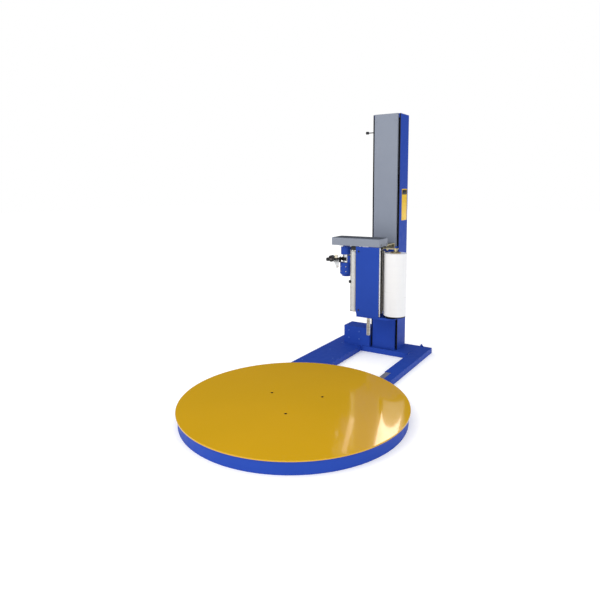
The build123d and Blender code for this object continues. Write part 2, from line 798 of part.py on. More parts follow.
# ---- prestretch drive ------------------------------------------------------------------------
def prestretch_motor():
    """Motor housing: the flange above the bright ring and the body below it."""
    y = front_y + motor_dy
    flange = round_z(motor_x, y, base_z + flange_low, deck - cone_h, flange_r)
    body = round_z(motor_x, y, base_z + body_low, base_z + ring_low, body_r)
    body = chamfer(body.edges().group_by(Axis.Z)[0], body_chamfer)
    terminal = block(motor_x + 22, motor_x + 48, y - 26, y + 26,
                     base_z + body_low + 6, base_z + ring_low + 60)
    terminal -= round_z(motor_x, y, base_z + body_low, deck, ring_r + SEAT)
    return Compound(children=[flange, body + terminal])


def motor_ring():
    """Bright bearing ring between flange and body, and the cone that seats on the deck."""
    y = front_y + motor_dy
    ring = round_z(motor_x, y, base_z + ring_low, base_z + flange_low, ring_r)
    cone = Pos(motor_x, y, deck - cone_h / 2) * Cone(flange_r, cone_r, cone_h)
    cone -= round_z(motor_x, y, deck - cone_h - 1, deck + 1, journal_r + 2)
    return Compound(children=[ring, cone])


def motor_pulley():
    """Motor shaft end with its belt pulley, above the deck."""
    y = front_y + motor_dy
    shaft = round_z(motor_x, y, deck - cone_h + 0.5, strap_z + strap_w, journal_r)
    return shaft + round_z(motor_x, y, strap_z, strap_z + strap_w, motor_pulley_r)


def transmission_belt():
    wheels = [(motor_x, front_y + motor_dy, motor_pulley_r, 1),
              (rubber_b_x, front_y + rubber_dy, drive_side_pulley_r, 1)]
    return Pos(0, 0, strap_z) * belt(wheels, strap_t, strap_w)


def rubber_roller(x, gear_r, with_pulley):
    """A rubber-covered prestretch roller with its gear above the deck."""
    y = front_y + rubber_dy
    top = strap_z + strap_w if with_pulley else gear_z + gear_t
    body = round_z(x, y, base_z + rubber_low, base_z + rubber_top, rubber_r)
    body += round_z(x, y, base_z, top, journal_r)
    body += round_z(x, y, gear_z, gear_z + gear_t, gear_r)
    if with_pulley:
        body += round_z(x, y, strap_z, strap_z + strap_w, drive_side_pulley_r)
    return body


def steel_roller():
    y = front_y + steel_dy
    body = round_z(steel_x, y, base_z + rubber_low, base_z + rubber_top, steel_r)
    return body + round_z(steel_x, y, base_z, deck + deck_t, journal_r)


def dancer_arm():
    """Pivot shaft, two arms and the pin that the exit roller turns on."""
    px, py = dancer_x, front_y + dancer_dy
    ex, ey = exit_x, front_y + exit_dy
    span = math.hypot(ex - px, ey - py)
    angle = math.degrees(math.atan2(ey - py, ex - px))
    body = round_z(px, py, base_z, deck + deck_t, journal_r)
    arm_low_z = base_z + exit_low - 2 - dancer_arm_t
    arm_high_z = base_z + exit_top + 2
    body += round_z(ex, ey, arm_low_z, arm_high_z + dancer_arm_t, exit_pin_r)
    for z in (arm_low_z, arm_high_z):
        bar = Pos(span / 2, 0, dancer_arm_t / 2) * Box(span, 22, dancer_arm_t)
        bar += round_z(0, 0, 0, dancer_arm_t, 11) + round_z(span, 0, 0, dancer_arm_t, 11)
        body += Pos(px, py, z) * (Rot(0, 0, angle) * bar)
    return body


def exit_roller():
    return ring_z(exit_x, front_y + exit_dy, base_z + exit_low, base_z + exit_top, exit_r, exit_pin_r + RUN)


# ---- door ------------------------------------------------------------------------------------
def unit_door():
    """Flat door in front of the rollers, with its lower left corner cut off."""
    z0 = plate_top + SEAT
    z1 = deck - 2
    outline = [(panel_left + 8, z0), (panel_right, z0), (panel_right, z1), (panel_left, z1),
               (panel_left, z0 + 35)]
    face = make_face(Polyline(*outline, close=True))
    sheet = Pos(0, front_y, 0) * (Rot(90, 0, 0) * extrude(face, amount=panel_sheet))
    for z in (z0 + 42, z1 - 40):
        sheet -= round_y(panel_left + 26, z, front_y - panel_sheet - 1, front_y + 1, 4.0)
    return sheet


def door_hinge():
    """Full-height hinge barrel with the leaf behind the door's right edge."""
    z0 = plate_top + 6
    z1 = deck - 6
    leaf = block(panel_right - 14, hinge_x, front_y, front_y + 2, z0, z1)
    barrel = round_z(hinge_x, hinge_y, z0, z1, hinge_barrel_r)
    return leaf + barrel - round_z(hinge_x, hinge_y, z0 - 1, z1 + 1, hinge_pin_r + RUN)


# ---- reel ------------------------------------------------------------------------------------
def film_roll():
    y = front_y + reel_dy
    z0 = base_z + reel_low
    roll = ring_z(reel_x, y, z0 + core_proud, z0 + reel_len - core_proud, reel_r, core_r + core_wall)
    return roll


def reel_core():
    y = front_y + reel_dy
    z0 = base_z + reel_low
    return ring_z(reel_x, y, z0, z0 + reel_len, core_r + core_wall, core_r)


def reel_spindle():
    y = front_y + reel_dy
    z0 = base_z + reel_low
    disc = round_z(reel_x, y, z0 - spindle_disc_t, z0, spindle_disc_r)
    mandrel = round_z(reel_x, y, z0 - 1, z0 + 120, core_r - SEAT)
    mandrel = chamfer(mandrel.edges().group_by(Axis.Z)[-1], 6.0)
    shaft = round_z(reel_x, y, base_z, z0, spindle_shaft_r)
    collar = round_z(reel_x, y, plate_top + 1, z0 - spindle_disc_t + 1, spindle_shaft_r + 14)
    return disc + mandrel + shaft + collar


def reel_arm():
    """Upper reel arm: it swings up about its barrel and its plug centres the core."""
    y = front_y + reel_dy
    z0 = arm_pivot_z - arm_plate_t / 2
    plate = block(arm_pivot_x, reel_x, y - arm_plate_w / 2, y + arm_plate_w / 2, z0, z0 + arm_plate_t)
    plate += round_z(reel_x, y, z0, z0 + arm_plate_t, arm_plate_w / 2)
    plate += round_y(arm_pivot_x, arm_pivot_z, y - arm_plate_w / 2, y + arm_plate_w / 2, 7.0)
    plug_low = base_z + reel_low + reel_len - 8
    plate += round_z(reel_x, y, plug_low, plug_low + 14, core_r - 5)
    plate += round_z(reel_x, y, plug_low, z0 + 1, plug_neck_r)
    knob = round_z(arm_pivot_x + 30, y - arm_plate_w / 2 + 8, z0 - 12, z0 + 1, 7)
    return plate + knob - round_y(arm_pivot_x, arm_pivot_z, y - 40, y + 40, hinge_pin_r + RUN)


def stop_rod():
    """Rod that meets an obstacle below the carriage; its collar rests on the base plate."""
    y = front_y + stop_dy
    rod = round_z(stop_x, y, base_z - stop_len, plate_top + 1, stop_r)
    rod = fillet(rod.edges().group_by(Axis.Z)[0], 7.0)
    return rod + round_z(stop_x, y, plate_top + SEAT, plate_top + SEAT + stop_collar_t, stop_r + 4)


# ---- photocell -------------------------------------------------------------------------------
def photocell_bracket():
    """Band round the motor's ring with an arm and a cheek for the photocell."""
    y = front_y + motor_dy
    z = base_z + cell_z
    band = ring_z(motor_x, y, z - band_half, z + band_half, ring_r + band_t, ring_r + SEAT / 2)
    band -= block(motor_x + 16, motor_x + body_r, y - body_r, y + body_r, z - 20, z + 20)
    edge = cell_x + cell_r + 4
    arm = block(edge, motor_x - ring_r - 3, front_y + cell_dy - 6, front_y + cell_dy + 6, z - 10, z + 10)
    web = block(motor_x - ring_r - 9, motor_x - ring_r + 3, front_y + cell_dy - 6, y, z - 10, z + 10)
    web -= round_z(motor_x, y, z - 20, z + 20, ring_r + 3)
    cheek = block(edge, edge + bracket_plate_t, front_y + cell_dy - 18, front_y + cell_dy + 18,
                  z - 26, z + 22)
    cheek -= round_x(front_y + cell_dy, z, edge - 1, edge + bracket_plate_t + 8, cell_pin_r + RUN)
    arm -= round_x(front_y + cell_dy, z, edge - 1, edge + bracket_plate_t + 8, cell_pin_r + RUN)
    return band + arm + web + cheek


def photocell_head():
    y = front_y + cell_dy
    z = base_z + cell_z
    head = round_y(cell_x, z, y - cell_len / 2, y + cell_len / 2, cell_r)
    head = fillet(head.edges(), 4.0)
    return head + round_x(y, z, cell_x, cell_x + cell_r + 4 + bracket_plate_t + 6, cell_pin_r)


# ---- write every sub-part --------------------------------------------------------------------
save("base_skirt", base_skirt())
save("base_frame", base_frame())
save("leg_left", leg_left())
save("leg_right", leg_right())
save("leg_splice", leg_splice())
save("cross_member", cross_member())
save("frame_screws", frame_screws())
save("drive_box", drive_box())
save("table_gearmotor", table_gearmotor())
save("drive_belt", drive_belt())
save("drive_pulley", drive_pulley())
save("belt_idler", belt_idler())
save("turntable_plate", turntable_plate())
save("table_spider", table_spider())
for number, roller_angle in enumerate(roller_angles, 1):
    save(f"table_roller_{number}", table_roller(roller_angle))

save("mast_wall_left", mast_wall(-1))
save("mast_wall_right", mast_wall(1))
save("mast_upper_cover", upper_cover())
save("mast_lower_cover", lower_cover())
save("mast_rear_door", rear_door())
save("mast_cap", mast_cap())
save("guide_rails", guide_rails())
save("lift_gearmotor", lift_gearmotor())
save("lift_belt", lift_belt())
save("lift_pulley_lower", lift_pulley(lift_low_z, False))
save("lift_pulley_upper", lift_pulley(lift_high_z, True))
save("tension_knob", tension_knob())
save("control_panel", control_panel())
save("main_switch", main_switch())
save("estop_button", button(control_places["estop"], estop_cap_r, estop_cap_t, estop_travel))
save("start_button", button(control_places["start"], button_cap_r, button_cap_t, button_travel))
save("stop_button", button(control_places["stop"], button_cap_r, button_cap_t, button_travel))

save("carriage_frame", carriage_frame())
save("wheel_brackets", wheel_brackets())
save("guide_wheels_lower", guide_wheels(wheel_heights[0]))
save("guide_wheels_upper", guide_wheels(wheel_heights[1]))
save("carriage_base", carriage_base())
save("carriage_deck", carriage_deck())
save("transmission_hood", transmission_hood())
save("prestretch_motor", prestretch_motor())
save("motor_ring", motor_ring())
save("motor_pulley", motor_pulley())
save("transmission_belt", transmission_belt())
save("prestretch_roller_a", rubber_roller(rubber_a_x, gear_a_r, False))
save("prestretch_roller_b", rubber_roller(rubber_b_x, gear_b_r, True))
save("steel_roller", steel_roller())
save("dancer_arm", dancer_arm())
save("exit_roller", exit_roller())
save("unit_door", unit_door())
save("door_hinge", door_hinge())
save("film_roll", film_roll())
save("reel_core", reel_core())
save("reel_spindle", reel_spindle())
save("reel_arm", reel_arm())
save("stop_rod", stop_rod())
save("photocell_bracket", photocell_bracket())
save("photocell_head", photocell_head())
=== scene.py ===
import json
import math
import random

import bmesh
import bpy
from mathutils import Matrix, Vector


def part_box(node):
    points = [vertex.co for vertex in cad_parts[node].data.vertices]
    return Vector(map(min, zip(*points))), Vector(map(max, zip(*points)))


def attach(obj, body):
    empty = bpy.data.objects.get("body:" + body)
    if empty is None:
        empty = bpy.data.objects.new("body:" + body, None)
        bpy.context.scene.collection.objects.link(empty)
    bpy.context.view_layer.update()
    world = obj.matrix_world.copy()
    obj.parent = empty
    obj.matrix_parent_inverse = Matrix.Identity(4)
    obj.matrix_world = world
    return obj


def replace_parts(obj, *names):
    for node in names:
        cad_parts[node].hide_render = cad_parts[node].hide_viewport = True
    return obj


# Turntable pallet wrapper: finishes and fine detail round the fixed frame. Metres.

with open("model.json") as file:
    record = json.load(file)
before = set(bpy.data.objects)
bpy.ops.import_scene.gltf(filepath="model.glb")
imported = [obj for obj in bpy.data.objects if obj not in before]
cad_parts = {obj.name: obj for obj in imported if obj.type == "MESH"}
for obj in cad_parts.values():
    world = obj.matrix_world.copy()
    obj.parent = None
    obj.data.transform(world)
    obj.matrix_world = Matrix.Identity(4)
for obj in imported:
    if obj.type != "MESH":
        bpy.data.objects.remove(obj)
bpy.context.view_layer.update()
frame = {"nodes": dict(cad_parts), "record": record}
NODES = frame["nodes"]
MM = 0.001
SKIN = 0.0002             # how far a fitted part's base lies from the face it sits on

X = Vector((1, 0, 0))
Y = Vector((0, 1, 0))
Z = Vector((0, 0, 1))


# ---- colours and node trees ------------------------------------------------------------------
def linear(hex_colour):
    """An sRGB hex colour as linear RGBA."""
    parts = [int(hex_colour[i:i + 2], 16) / 255 for i in (1, 3, 5)]
    return [p / 12.92 if p <= 0.04045 else ((p + 0.055) / 1.055) ** 2.4 for p in parts] + [1.0]


def put(tree, kind, values=None, links=None, **settings):
    """Adds a node with its settings, its socket values and its incoming links."""
    node = tree.nodes.new(kind)
    for name, value in settings.items():
        setattr(node, name, value)
    for name, value in (values or {}).items():
        node.inputs[name].default_value = value
    for name, source in (links or {}).items():
        tree.links.new(source, node.inputs[name])
    return node


def surface(name, **values):
    """A new material with one Principled shader; returns the material, its tree and the shader."""
    material = bpy.data.materials.new(name)
    material.use_nodes = True
    tree = material.node_tree
    tree.nodes.clear()
    shader = put(tree, "ShaderNodeBsdfPrincipled", values)
    put(tree, "ShaderNodeOutputMaterial", links={"Surface": shader.outputs["BSDF"]})
    return material, tree, shader


def pattern(tree, size_mm, stretch=(1, 1, 1), detail=3.0):
    """Noise whose blotches measure size_mm; stretch lengthens them along an axis."""
    place = put(tree, "ShaderNodeTexCoord")
    scale = [1 / (MM * size_mm * s) for s in stretch]
    mapped = put(tree, "ShaderNodeMapping", {"Scale": scale}, {"Vector": place.outputs["Object"]})
    noise = put(tree, "ShaderNodeTexNoise", {"Scale": 1.0, "Detail": detail, "Roughness": 0.55},
                {"Vector": mapped.outputs["Vector"]})
    return noise.outputs["Fac"]


def spread(tree, source, low, high, start=0.3, end=0.7):
    """Maps a pattern's middle range onto low to high."""
    ranged = put(tree, "ShaderNodeMapRange",
                 {"From Min": start, "From Max": end, "To Min": low, "To Max": high}, {"Value": source})
    return ranged.outputs["Result"]


def two_tone(tree, factor, first, second):
    """A colour between two, by a factor. Either may be a hex colour or another colour's socket."""
    mix = put(tree, "ShaderNodeMix", links={"Factor": factor}, data_type="RGBA")
    for socket, colour in ((mix.inputs[6], first), (mix.inputs[7], second)):
        if isinstance(colour, str):
            socket.default_value = linear(colour)
        else:
            tree.links.new(colour, socket)
    return mix.outputs[2]


def relief(tree, shader, height, depth_mm, edge_mm=0.0):
    """Bump of a real depth, laid over an edge that is rounded by edge_mm; returns the rounded
    normal."""
    bump = put(tree, "ShaderNodeBump", {"Strength": 1.0, "Distance": depth_mm * MM}, {"Height": height})
    rounded = None
    if edge_mm:
        rounded = put(tree, "ShaderNodeBevel", {"Radius": edge_mm * MM}, samples=4)
        tree.links.new(rounded.outputs["Normal"], bump.inputs["Normal"])
    tree.links.new(bump.outputs["Normal"], shader.inputs["Normal"])
    return rounded


def edge_mask(tree, rounded):
    """1 on a sharp edge and 0 on a flat face, where the rounded normal leaves the face's own."""
    face = put(tree, "ShaderNodeNewGeometry")
    dot = put(tree, "ShaderNodeVectorMath", operation="DOT_PRODUCT")
    tree.links.new(rounded.outputs["Normal"], dot.inputs[0])
    tree.links.new(face.outputs["Normal"], dot.inputs[1])
    edge, flat = 0.90, 0.99                               # cosines between the two normals
    return spread(tree, dot.outputs["Value"], 1.0, 0.0, edge, flat)


# ---- finishes --------------------------------------------------------------------------------
def powder_coat(name, colour, cloud, worn, roughness, specular):
    """Baked powder coat on sheet steel: an orange-peel skin that is a little thinner and paler on
    its edges, with faint cloudiness over a large panel and rubbed patches that shine less."""
    material, tree, shader = surface(name, **{"Specular IOR Level": specular})
    peel = pattern(tree, 5.0, detail=2.0)                 # real peel is about 1.5 mm, drawn coarser
    rounded = relief(tree, shader, peel, 0.05, 1.6)
    edge = edge_mask(tree, rounded)
    scuffed = spread(tree, pattern(tree, 7.0, detail=6.0), 0.0, 0.55, 0.42, 0.62)
    rubbed = put(tree, "ShaderNodeMath", links={0: edge, 1: scuffed}, operation="MULTIPLY")
    clouds = spread(tree, pattern(tree, 320.0), 0.0, 1.0)
    body = two_tone(tree, clouds, colour, cloud)
    tree.links.new(two_tone(tree, rubbed.outputs["Value"], body, worn), shader.inputs["Base Color"])
    dull = spread(tree, pattern(tree, 45.0, detail=5.0), roughness, roughness + 0.12)
    tree.links.new(dull, shader.inputs["Roughness"])
    return material


def table_enamel():
    """High-gloss yellow lacquer on the table plate: it mirrors what stands behind it, and pallets have
    left long faint rubs in the gloss."""
    material, tree, shader = surface("yellow_gloss_lacquer", **{
        "Specular IOR Level": 0.25, "Coat Weight": 0.40, "Coat Roughness": 0.03})
    waves = pattern(tree, 60.0, (6, 1, 1), 2.0)
    rounded = relief(tree, shader, waves, 0.004, 1.0)
    edge = edge_mask(tree, rounded)
    chipped = spread(tree, pattern(tree, 12.0, detail=6.0), 0.0, 0.5, 0.48, 0.66)
    wear = put(tree, "ShaderNodeMath", links={0: edge, 1: chipped}, operation="MULTIPLY")
    body = two_tone(tree, spread(tree, pattern(tree, 700.0), 0.0, 1.0), "#C4980A", "#C89A0E")
    tree.links.new(two_tone(tree, wear.outputs["Value"], body, "#8F7A3A"), shader.inputs["Base Color"])
    rubs = spread(tree, pattern(tree, 18.0, (14, 1, 1), 5.0), 0.12, 0.17, 0.45, 0.75)
    tree.links.new(rubs, shader.inputs["Roughness"])
    return material


def turned_metal(name, colour, shade, axis, roughness=0.28):
    """Turned or ground metal: fine tool lines round the axis, brighter and duller by bands."""
    material, tree, shader = surface(name, **{"Metallic": 1.0})
    across = [1.0 if i == axis else 400.0 for i in range(3)]
    lines = pattern(tree, 0.9, across, 4.0)               # tool lines are 0.2 mm apart, drawn coarser
    relief(tree, shader, lines, 0.012, 0.5)
    bands = pattern(tree, 14.0, [1.0 if i == axis else 30.0 for i in range(3)])
    tree.links.new(two_tone(tree, spread(tree, bands, 0, 1), colour, shade),
                   shader.inputs["Base Color"])
    tree.links.new(spread(tree, lines, roughness - 0.06, roughness + 0.10), shader.inputs["Roughness"])
    return material


def plain_steel():
    """Bright cold-rolled steel and zinc-plated screws: faint rolling grain and grey handling marks."""
    material, tree, shader = surface("bright_steel", **{"Metallic": 0.75})
    grain = pattern(tree, 1.2, (18, 1, 1), 4.0)
    relief(tree, shader, grain, 0.01, 0.6)
    marks = spread(tree, pattern(tree, 22.0, detail=5.0), 0, 1, 0.4, 0.7)
    tree.links.new(two_tone(tree, marks, "#C9C8C4", "#A9A8A4"), shader.inputs["Base Color"])
    tree.links.new(spread(tree, grain, 0.42, 0.58), shader.inputs["Roughness"])
    return material


def yellow_zinc():
    """Yellow-passivated zinc plating: straw colour that drifts to grey-green, satin."""
    material, tree, shader = surface("yellow_passivated_zinc", **{"Metallic": 1.0})
    drift = spread(tree, pattern(tree, 24.0, detail=4.0), 0, 1)
    tree.links.new(two_tone(tree, drift, "#CDB98A", "#AEB0A0"), shader.inputs["Base Color"])
    relief(tree, shader, pattern(tree, 1.5), 0.01, 0.6)
    tree.links.new(spread(tree, pattern(tree, 9.0), 0.28, 0.45), shader.inputs["Roughness"])
    return material


def hammered_enamel():
    """Grey machine enamel on cast housings: shallow pits a few millimetres across, their floors painted
    darker as painted shade in the hollows.
    """
    material, tree, shader = surface("grey_hammered_enamel", **{"Specular IOR Level": 0.45})
    place = put(tree, "ShaderNodeTexCoord")
    cells = put(tree, "ShaderNodeTexVoronoi", {"Scale": 220.0}, {"Vector": place.outputs["Object"]},
                feature="SMOOTH_F1")
    relief(tree, shader, cells.outputs["Distance"], 0.25, 1.5)
    # colour darkens towards each pit's floor: painted shade in the hollows
    pit_shade = spread(tree, cells.outputs["Distance"], 0, 1, 0.1, 0.6)
    tree.links.new(two_tone(tree, pit_shade, "#3D434A", "#4A5058"), shader.inputs["Base Color"])
    tree.links.new(spread(tree, pattern(tree, 30.0), 0.32, 0.46), shader.inputs["Roughness"])
    return material


def ground_rubber(name, colour, shade, axis):
    """Ground rubber cover: matt, with grinding lines round the roller and dusty patches."""
    material, tree, shader = surface(name, **{"Specular IOR Level": 0.35})
    lines = pattern(tree, 1.4, [1.0 if i == axis else 300.0 for i in range(3)], 3.0)
    relief(tree, shader, lines, 0.03, 0.8)
    dust = spread(tree, pattern(tree, 35.0, detail=5.0), 0, 1, 0.45, 0.75)
    tree.links.new(two_tone(tree, dust, colour, shade), shader.inputs["Base Color"])
    tree.links.new(spread(tree, lines, 0.55, 0.75), shader.inputs["Roughness"])
    return material


def moulded_plastic(name, colour, shade, roughness, grain_mm, depth_mm, coat=0.0):
    """Moulded plastic: a fine spark-eroded grain, softened corners and a slight tone drift."""
    material, tree, shader = surface(name, **{"Specular IOR Level": 0.45, "Coat Weight": coat,
                                              "Coat Roughness": 0.1})
    relief(tree, shader, pattern(tree, grain_mm, detail=3.0), depth_mm, 0.8)
    drift = spread(tree, pattern(tree, 30.0), 0, 1)
    tree.links.new(two_tone(tree, drift, colour, shade), shader.inputs["Base Color"])
    tree.links.new(spread(tree, pattern(tree, 12.0, detail=4.0), roughness, roughness + 0.1),
                   shader.inputs["Roughness"])
    return material


def wound_film():
    """Clear stretch film wound tight: many layers look white, with soft bands where the winding
    tension changed and a waxy shine."""
    material, tree, shader = surface("wound_stretch_film", **{
        "Specular IOR Level": 0.4, "Coat Weight": 0.25, "Coat Roughness": 0.2})
    bands = pattern(tree, 26.0, (60, 60, 1), 4.0)
    tree.links.new(two_tone(tree, spread(tree, bands, 0, 1), "#E1E2E4", "#DEDFE2"),
                   shader.inputs["Base Color"])
    folds = pattern(tree, 6.0, (1, 1, 12), 3.0)
    relief(tree, shader, folds, 0.03, 0.8)
    tree.links.new(spread(tree, bands, 0.26, 0.40), shader.inputs["Roughness"])
    return material


def core_board():
    """Spirally wound grey-brown board: short fibres and the seam of each turn."""
    material, tree, shader = surface("spiral_wound_board", **{"Specular IOR Level": 0.2})
    low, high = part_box("reel_core")
    centre = (low + high) / 2
    place = put(tree, "ShaderNodeTexCoord")
    middle = put(tree, "ShaderNodeMapping", {"Location": (-centre.x, -centre.y, 0)},
                 {"Vector": place.outputs["Object"]})
    axes = put(tree, "ShaderNodeSeparateXYZ", links={"Vector": middle.outputs["Vector"]})
    turn = put(tree, "ShaderNodeMath", links={0: axes.outputs["Y"], 1: axes.outputs["X"]},
               operation="ARCTAN2")
    seam_pitch = 0.09
    climb = put(tree, "ShaderNodeMath", {1: 2 * math.pi / seam_pitch}, {0: axes.outputs["Z"]},
                operation="MULTIPLY")
    both = put(tree, "ShaderNodeMath", links={0: turn.outputs[0], 1: climb.outputs[0]}, operation="ADD")
    wave = put(tree, "ShaderNodeMath", links={0: both.outputs[0]}, operation="COSINE")
    seam = spread(tree, wave.outputs[0], 0.0, 1.0, 0.995, 1.0)
    fibres = pattern(tree, 1.5, (1, 5, 1), 5.0)
    board = two_tone(tree, spread(tree, fibres, 0, 1), "#A48C67", "#B79F7B")
    tree.links.new(two_tone(tree, seam, board, "#6E5B41"), shader.inputs["Base Color"])
    relief(tree, shader, fibres, 0.05)
    tree.links.new(spread(tree, fibres, 0.75, 0.9), shader.inputs["Roughness"])
    return material


def vinyl_label():
    """Yellow vinyl label with a darker printed border: smooth, slightly dimpled by the paint below."""
    material, tree, shader = surface("yellow_vinyl", **{"Specular IOR Level": 0.4})
    relief(tree, shader, pattern(tree, 5.0), 0.03)
    drift = spread(tree, pattern(tree, 60.0), 0, 1)
    tree.links.new(two_tone(tree, drift, "#E6BE2E", "#DDB428"), shader.inputs["Base Color"])
    tree.links.new(spread(tree, pattern(tree, 20.0), 0.3, 0.4), shader.inputs["Roughness"])
    return material


def sight_glass():
    """Dark red filter glass of a photocell or a dark display window: deep, smooth and glossy."""
    material, tree, shader = surface("dark_filter_glass", **{
        "Specular IOR Level": 0.5, "Coat Weight": 1.0, "Coat Roughness": 0.02})
    depth = spread(tree, pattern(tree, 8.0), 0, 1)
    tree.links.new(two_tone(tree, depth, "#1A0608", "#27090C"), shader.inputs["Base Color"])
    tree.links.new(spread(tree, pattern(tree, 3.0), 0.04, 0.10), shader.inputs["Roughness"])
    return material


FINISH = {
    "blue_paint": powder_coat("blue_powder_coat", "#2446A6", "#21429E", "#4A66B4", 0.42, 0.10),
    "yellow_paint": table_enamel(),
    "grey_paint": powder_coat("grey_powder_coat", "#858C9A", "#808796", "#A4AAB6", 0.42, 0.25),
    "black_steel": powder_coat("black_steel_coat", "#0C0D0F", "#101113", "#3A3A3C", 0.45, 0.30),
    "bare_steel": plain_steel(),
    "zinc_steel": yellow_zinc(),
    "motor_grey": hammered_enamel(),
    "aluminium": turned_metal("bright_turned_aluminium", "#D4D6D8", "#B8BABD", 2, 0.22),
    "rubber": ground_rubber("black_ground_rubber", "#1C1C1D", "#333332", 2),
    "belt_rubber": ground_rubber("black_belt_rubber", "#131314", "#242423", 2),
    "nylon": moulded_plastic("black_cast_nylon", "#1C1D20", "#26272A", 0.42, 1.2, 0.02),
    "white_plastic": moulded_plastic("white_turned_plastic", "#CBCCCB", "#BFC0BE", 0.40, 2.0, 0.02),
    "film": wound_film(),
    "cardboard": core_board(),
    "black_plastic": moulded_plastic("black_moulded_plastic", "#17181A", "#202124", 0.38, 0.9, 0.03),
    "red_plastic": moulded_plastic("red_gloss_plastic", "#C4161A", "#B21216", 0.18, 3.0, 0.01, 0.5),
    "green_plastic": moulded_plastic("green_gloss_plastic", "#138A3C", "#0F7A34", 0.18, 3.0, 0.01, 0.5),
    "panel_foil": moulded_plastic("grey_panel_foil", "#B9BCC0", "#AFB2B6", 0.42, 1.4, 0.015),
    "label": vinyl_label(),
    "glass": sight_glass(),
}
TURNED_Z = turned_metal("turned_steel_upright", "#C9C6BC", "#A9A69E", 2, 0.36)
# dark grey rubber for the sheet on the hood's top: painted shade on that face
HOOD_SHADE_RUBBER = ground_rubber("grey_shade_sheet_rubber", "#4C525E", "#5A606B", 2)
AMBER = moulded_plastic("yellow_gloss_plastic", "#E0B81A", "#D2AA12", 0.2, 3.0, 0.01, 0.4)
BOARD = moulded_plastic("cream_moulded_plastic", "#D9D2BE", "#CDC5AE", 0.4, 1.0, 0.02)
TURNED_X = turned_metal("turned_steel_level", "#B4B2AD", "#908E8A", 0)
BELT_X = ground_rubber("black_lift_belt", "#131314", "#242423", 0)
BY_NODE = {"steel_roller": TURNED_Z, "stop_rod": TURNED_Z, "dancer_arm": TURNED_Z,
           "drive_pulley": TURNED_Z, "belt_idler": TURNED_Z, "motor_pulley": TURNED_Z,
           "lift_pulley_lower": TURNED_X, "lift_pulley_upper": TURNED_X, "lift_belt": BELT_X,
           "frame_screws": powder_coat("pale_blue_coat", "#4A6CC2", "#4465B8", "#8093CC", 0.40, 0.20)}

slot_of = {part["node"]: part["material_slot"] for part in frame["record"]["subparts"]}
for name, obj in NODES.items():
    for holder in obj.material_slots:
        holder.material = BY_NODE.get(name, FINISH[slot_of[name]])


# ---- shapes ----------------------------------------------------------------------------------
def keep(name, mesh, body, slot, finish=None):
    """Makes a mesh a finished piece of the object."""
    obj = bpy.data.objects.new(name, mesh)
    bpy.context.scene.collection.objects.link(obj)
    if not mesh.materials:
        mesh.materials.append(finish or FINISH[slot])
    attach(obj, body)
    return obj


def from_bmesh(bm):
    """A bmesh as a plain mesh; the bmesh is freed."""
    mesh = bpy.data.meshes.new("made")
    bm.to_mesh(mesh)
    bm.free()
    return mesh


def smooth_by_angle(mesh, degrees=35.0):
    """Smooth shading, split where faces meet at more than an angle."""
    mesh.polygons.foreach_set("use_smooth", [True] * len(mesh.polygons))
    mesh.set_sharp_from_angle(angle=math.radians(degrees))
    return mesh


def lathe(profile, at, axis=Z, segments=64):
    """A turned shape. The profile is (radius, height) pairs; it closes on itself or on the axis."""
    bm = bmesh.new()
    turn = Z.rotation_difference(axis).to_matrix().to_4x4()
    place = Matrix.Translation(at) @ turn
    rings = []
    for radius, height in profile:
        if radius < 1e-9:
            rings.append([bm.verts.new(place @ Vector((0, 0, height)))])
            continue
        ring = []
        for i in range(segments):
            angle = 2 * math.pi * i / segments
            ring.append(bm.verts.new(place @ Vector((radius * math.cos(angle),
                                                     radius * math.sin(angle), height))))
        rings.append(ring)
    open_ends = profile[0][0] < 1e-9
    pairs = zip(rings, rings[1:] if open_ends else rings[1:] + rings[:1])
    for first, second in pairs:
        for i in range(segments):
            j = (i + 1) % segments
            corners = [first[i % len(first)], first[j % len(first)],
                       second[j % len(second)], second[i % len(second)]]
            unique = list(dict.fromkeys(corners))
            if len(unique) > 2:
                bm.faces.new(unique)
    bmesh.ops.recalc_face_normals(bm, faces=bm.faces)
    return smooth_by_angle(from_bmesh(bm))


def bevelled_box(low, high, bevel):
    """A box between two corners with its edges rounded."""
    bm = bmesh.new()
    low, high = Vector(low), Vector(high)
    bmesh.ops.create_cube(bm, size=1.0)
    bmesh.ops.scale(bm, vec=high - low, verts=bm.verts)
    bmesh.ops.translate(bm, vec=(low + high) / 2, verts=bm.verts)
    bmesh.ops.bevel(bm, geom=bm.edges[:], offset=bevel, segments=3, profile=0.5, affect="EDGES")
    bmesh.ops.recalc_face_normals(bm, faces=bm.faces)
    return smooth_by_angle(from_bmesh(bm), 40)


def prism(outline, thickness, to_place, bevel):
    """A flat plate with the given outline, its edges rounded, put in place by a matrix."""
    bm = bmesh.new()
    face = bm.faces.new([bm.verts.new((x, y, 0)) for x, y in outline])
    made = bmesh.ops.extrude_face_region(bm, geom=[face])
    top = [v for v in made["geom"] if isinstance(v, bmesh.types.BMVert)]
    bmesh.ops.translate(bm, vec=(0, 0, thickness), verts=top)
    bmesh.ops.recalc_face_normals(bm, faces=bm.faces)
    bmesh.ops.bevel(bm, geom=bm.edges[:], offset=bevel, segments=2, profile=0.5, affect="EDGES")
    bmesh.ops.transform(bm, matrix=to_place, verts=bm.verts)
    bmesh.ops.recalc_face_normals(bm, faces=bm.faces)
    return smooth_by_angle(from_bmesh(bm), 40)


def wire(points, radius):
    """A round wire through points, straight between them."""
    curve = bpy.data.curves.new("wire", "CURVE")
    curve.dimensions = "3D"
    curve.bevel_depth = radius
    curve.bevel_resolution = 4
    curve.use_fill_caps = True
    spline = curve.splines.new("POLY")
    spline.points.add(len(points) - 1)
    for point, place in zip(spline.points, points):
        point.co = (*place, 1)
    holder = bpy.data.objects.new("wire", curve)
    mesh = bpy.data.meshes.new_from_object(holder)
    bpy.data.objects.remove(holder)
    return smooth_by_angle(mesh, 60)


